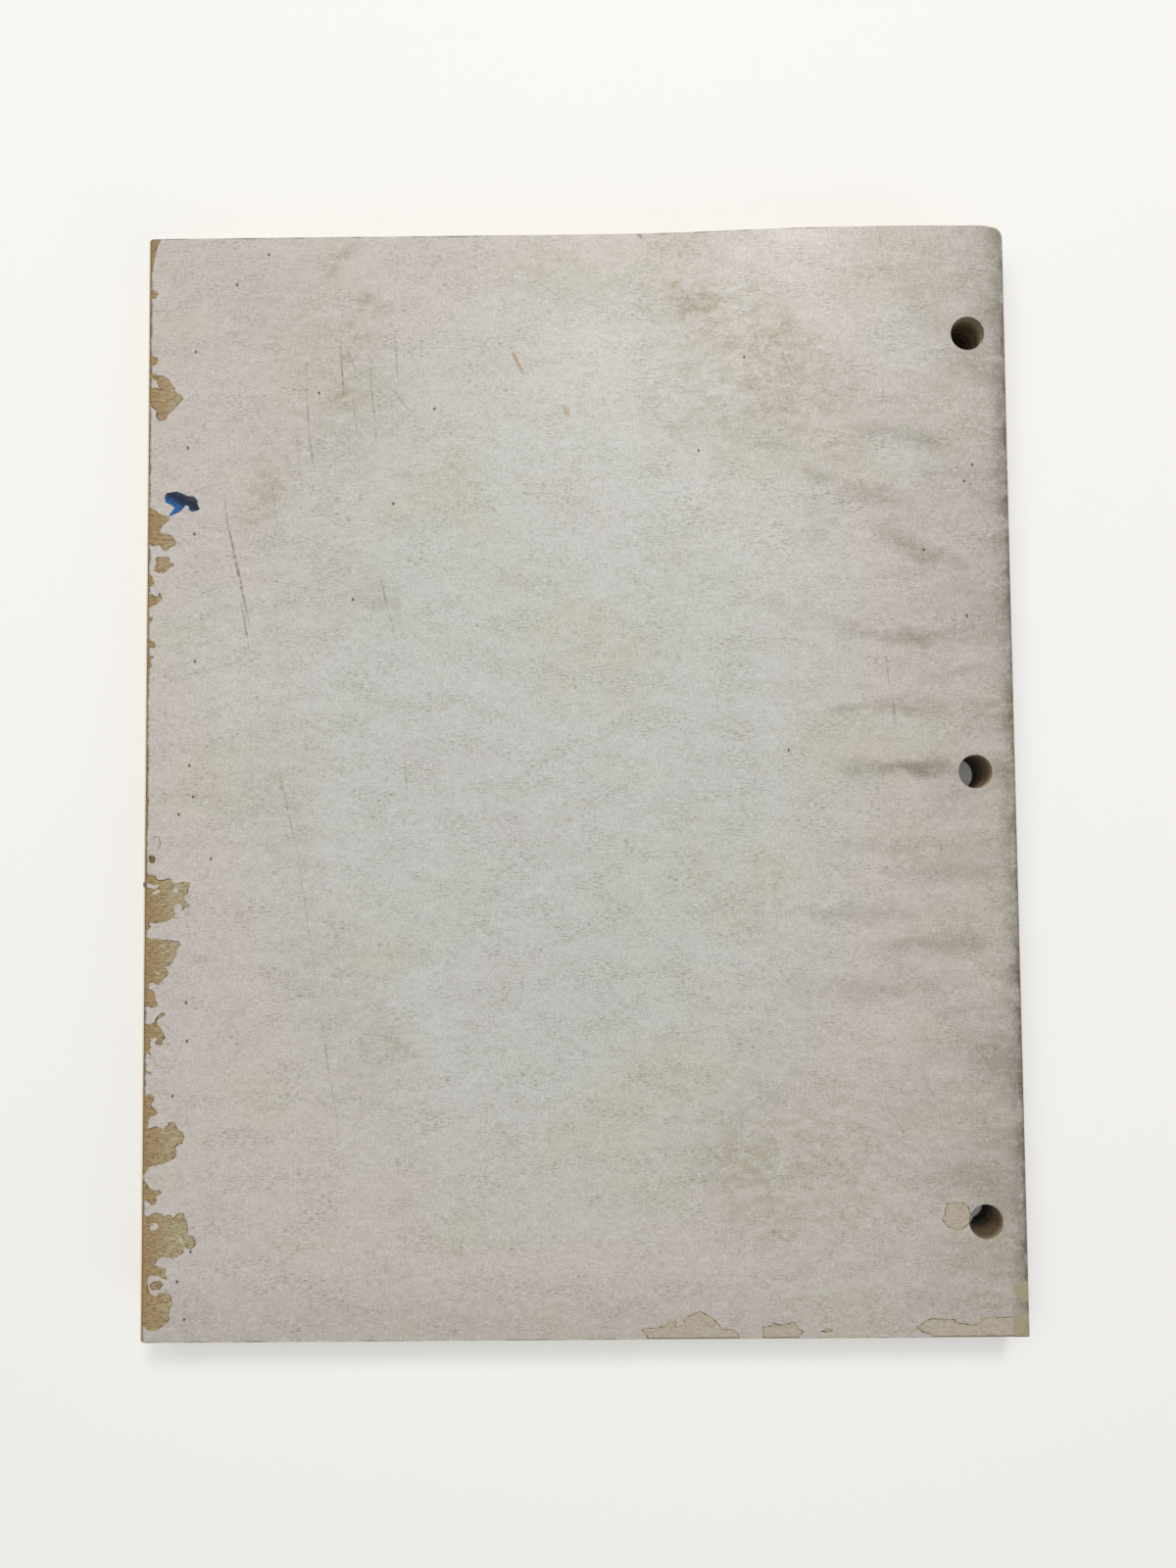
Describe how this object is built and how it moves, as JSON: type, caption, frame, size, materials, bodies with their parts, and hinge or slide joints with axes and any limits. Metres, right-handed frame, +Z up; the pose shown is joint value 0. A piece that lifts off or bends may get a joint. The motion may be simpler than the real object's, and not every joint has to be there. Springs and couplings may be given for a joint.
{
  "type": "softcover manual",
  "caption": "Thick softcover manual with a glued spine and binder holes, lying face down; both covers and the leaf packs turn on the spine.",
  "frame": {"origin": "on the ground, under the middle of the closed book", "axes": "+X towards the spine, +Y towards the head, +Z up, out of the back cover; the book lies face down"},
  "size_m": [0.2126, 0.2698, 0.0185],
  "materials": {
    "cover_card": "satin",
    "leaf_paper": "matte",
    "spine_glue": "gloss"
  },
  "bodies": {
    "front_cover": {"front_cover": "cover_card"},
    "pack_01": {"leaf_pack_01": "leaf_paper", "spine_glue_01": "spine_glue", "spine_cover_01": "cover_card"},
    "pack_02": {"leaf_pack_02": "leaf_paper", "spine_glue_02": "spine_glue", "spine_cover_02": "cover_card"},
    "pack_03": {"leaf_pack_03": "leaf_paper", "spine_glue_03": "spine_glue", "spine_cover_03": "cover_card"},
    "pack_04": {"leaf_pack_04": "leaf_paper", "spine_glue_04": "spine_glue", "spine_cover_04": "cover_card"},
    "pack_05": {"leaf_pack_05": "leaf_paper", "spine_glue_05": "spine_glue", "spine_cover_05": "cover_card"},
    "pack_06": {"leaf_pack_06": "leaf_paper", "spine_glue_06": "spine_glue", "spine_cover_06": "cover_card"},
    "pack_07": {"leaf_pack_07": "leaf_paper", "spine_glue_07": "spine_glue", "spine_cover_07": "cover_card"},
    "pack_08": {"leaf_pack_08": "leaf_paper", "spine_glue_08": "spine_glue", "spine_cover_08": "cover_card"},
    "pack_09": {"leaf_pack_09": "leaf_paper", "spine_glue_09": "spine_glue", "spine_cover_09": "cover_card"},
    "pack_10": {"leaf_pack_10": "leaf_paper", "spine_glue_10": "spine_glue", "spine_cover_10": "cover_card"},
    "pack_11": {"leaf_pack_11": "leaf_paper", "spine_glue_11": "spine_glue", "spine_cover_11": "cover_card"},
    "pack_12": {"leaf_pack_12": "leaf_paper", "spine_glue_12": "spine_glue", "spine_cover_12": "cover_card"},
    "back_cover": {"back_cover": "cover_card"}
  },
  "joints": [
    {"name": "front_cover_hinge", "type": "hinge", "parent": "pack_01", "child": "front_cover", "pos_m": [0.1065, 0, 0.00055], "axis": [0, -1, 0], "range_deg": [0, 180]},
    {"name": "leaf_hinge_01", "type": "hinge", "parent": "pack_01", "child": "pack_02", "pos_m": [0.1065, 0, 0.00179], "axis": [0, 1, 0], "range_deg": [0, 3]},
    {"name": "leaf_hinge_02", "type": "hinge", "parent": "pack_02", "child": "pack_03", "pos_m": [0.1065, 0, 0.00303], "axis": [0, 1, 0], "range_deg": [0, 3]},
    {"name": "leaf_hinge_03", "type": "hinge", "parent": "pack_03", "child": "pack_04", "pos_m": [0.1065, 0, 0.00428], "axis": [0, 1, 0], "range_deg": [0, 4]},
    {"name": "leaf_hinge_04", "type": "hinge", "parent": "pack_04", "child": "pack_05", "pos_m": [0.1065, 0, 0.00552], "axis": [0, 1, 0], "range_deg": [0, 5]},
    {"name": "leaf_hinge_05", "type": "hinge", "parent": "pack_05", "child": "pack_06", "pos_m": [0.1065, 0, 0.00676], "axis": [0, 1, 0], "range_deg": [0, 7]},
    {"name": "leaf_hinge_06", "type": "hinge", "parent": "pack_06", "child": "pack_07", "pos_m": [0.1065, 0, 0.008], "axis": [0, 1, 0], "range_deg": [0, 16]},
    {"name": "leaf_hinge_07", "type": "hinge", "parent": "pack_07", "child": "pack_08", "pos_m": [0.1065, 0, 0.00924], "axis": [0, 1, 0], "range_deg": [0, 7]},
    {"name": "leaf_hinge_08", "type": "hinge", "parent": "pack_08", "child": "pack_09", "pos_m": [0.1065, 0, 0.01048], "axis": [0, 1, 0], "range_deg": [0, 5]},
    {"name": "leaf_hinge_09", "type": "hinge", "parent": "pack_09", "child": "pack_10", "pos_m": [0.1065, 0, 0.01172], "axis": [0, 1, 0], "range_deg": [0, 4]},
    {"name": "leaf_hinge_10", "type": "hinge", "parent": "pack_10", "child": "pack_11", "pos_m": [0.1065, 0, 0.01297], "axis": [0, 1, 0], "range_deg": [0, 3]},
    {"name": "leaf_hinge_11", "type": "hinge", "parent": "pack_11", "child": "pack_12", "pos_m": [0.1065, 0, 0.01421], "axis": [0, 1, 0], "range_deg": [0, 3]},
    {"name": "back_cover_hinge", "type": "hinge", "parent": "pack_12", "child": "back_cover", "pos_m": [0.1065, 0, 0.01545], "axis": [0, 1, 0], "range_deg": [0, 120]}
  ],
  "couplings": [
    {"joint": "leaf_hinge_01", "follows": "leaf_hinge_06", "ratio": 0.1875},
    {"joint": "leaf_hinge_02", "follows": "leaf_hinge_06", "ratio": 0.1875},
    {"joint": "leaf_hinge_03", "follows": "leaf_hinge_06", "ratio": 0.25},
    {"joint": "leaf_hinge_04", "follows": "leaf_hinge_06", "ratio": 0.3125},
    {"joint": "leaf_hinge_05", "follows": "leaf_hinge_06", "ratio": 0.4375},
    {"joint": "leaf_hinge_07", "follows": "leaf_hinge_06", "ratio": 0.4375},
    {"joint": "leaf_hinge_08", "follows": "leaf_hinge_06", "ratio": 0.3125},
    {"joint": "leaf_hinge_09", "follows": "leaf_hinge_06", "ratio": 0.25},
    {"joint": "leaf_hinge_10", "follows": "leaf_hinge_06", "ratio": 0.1875},
    {"joint": "leaf_hinge_11", "follows": "leaf_hinge_06", "ratio": 0.1875}
  ]
}
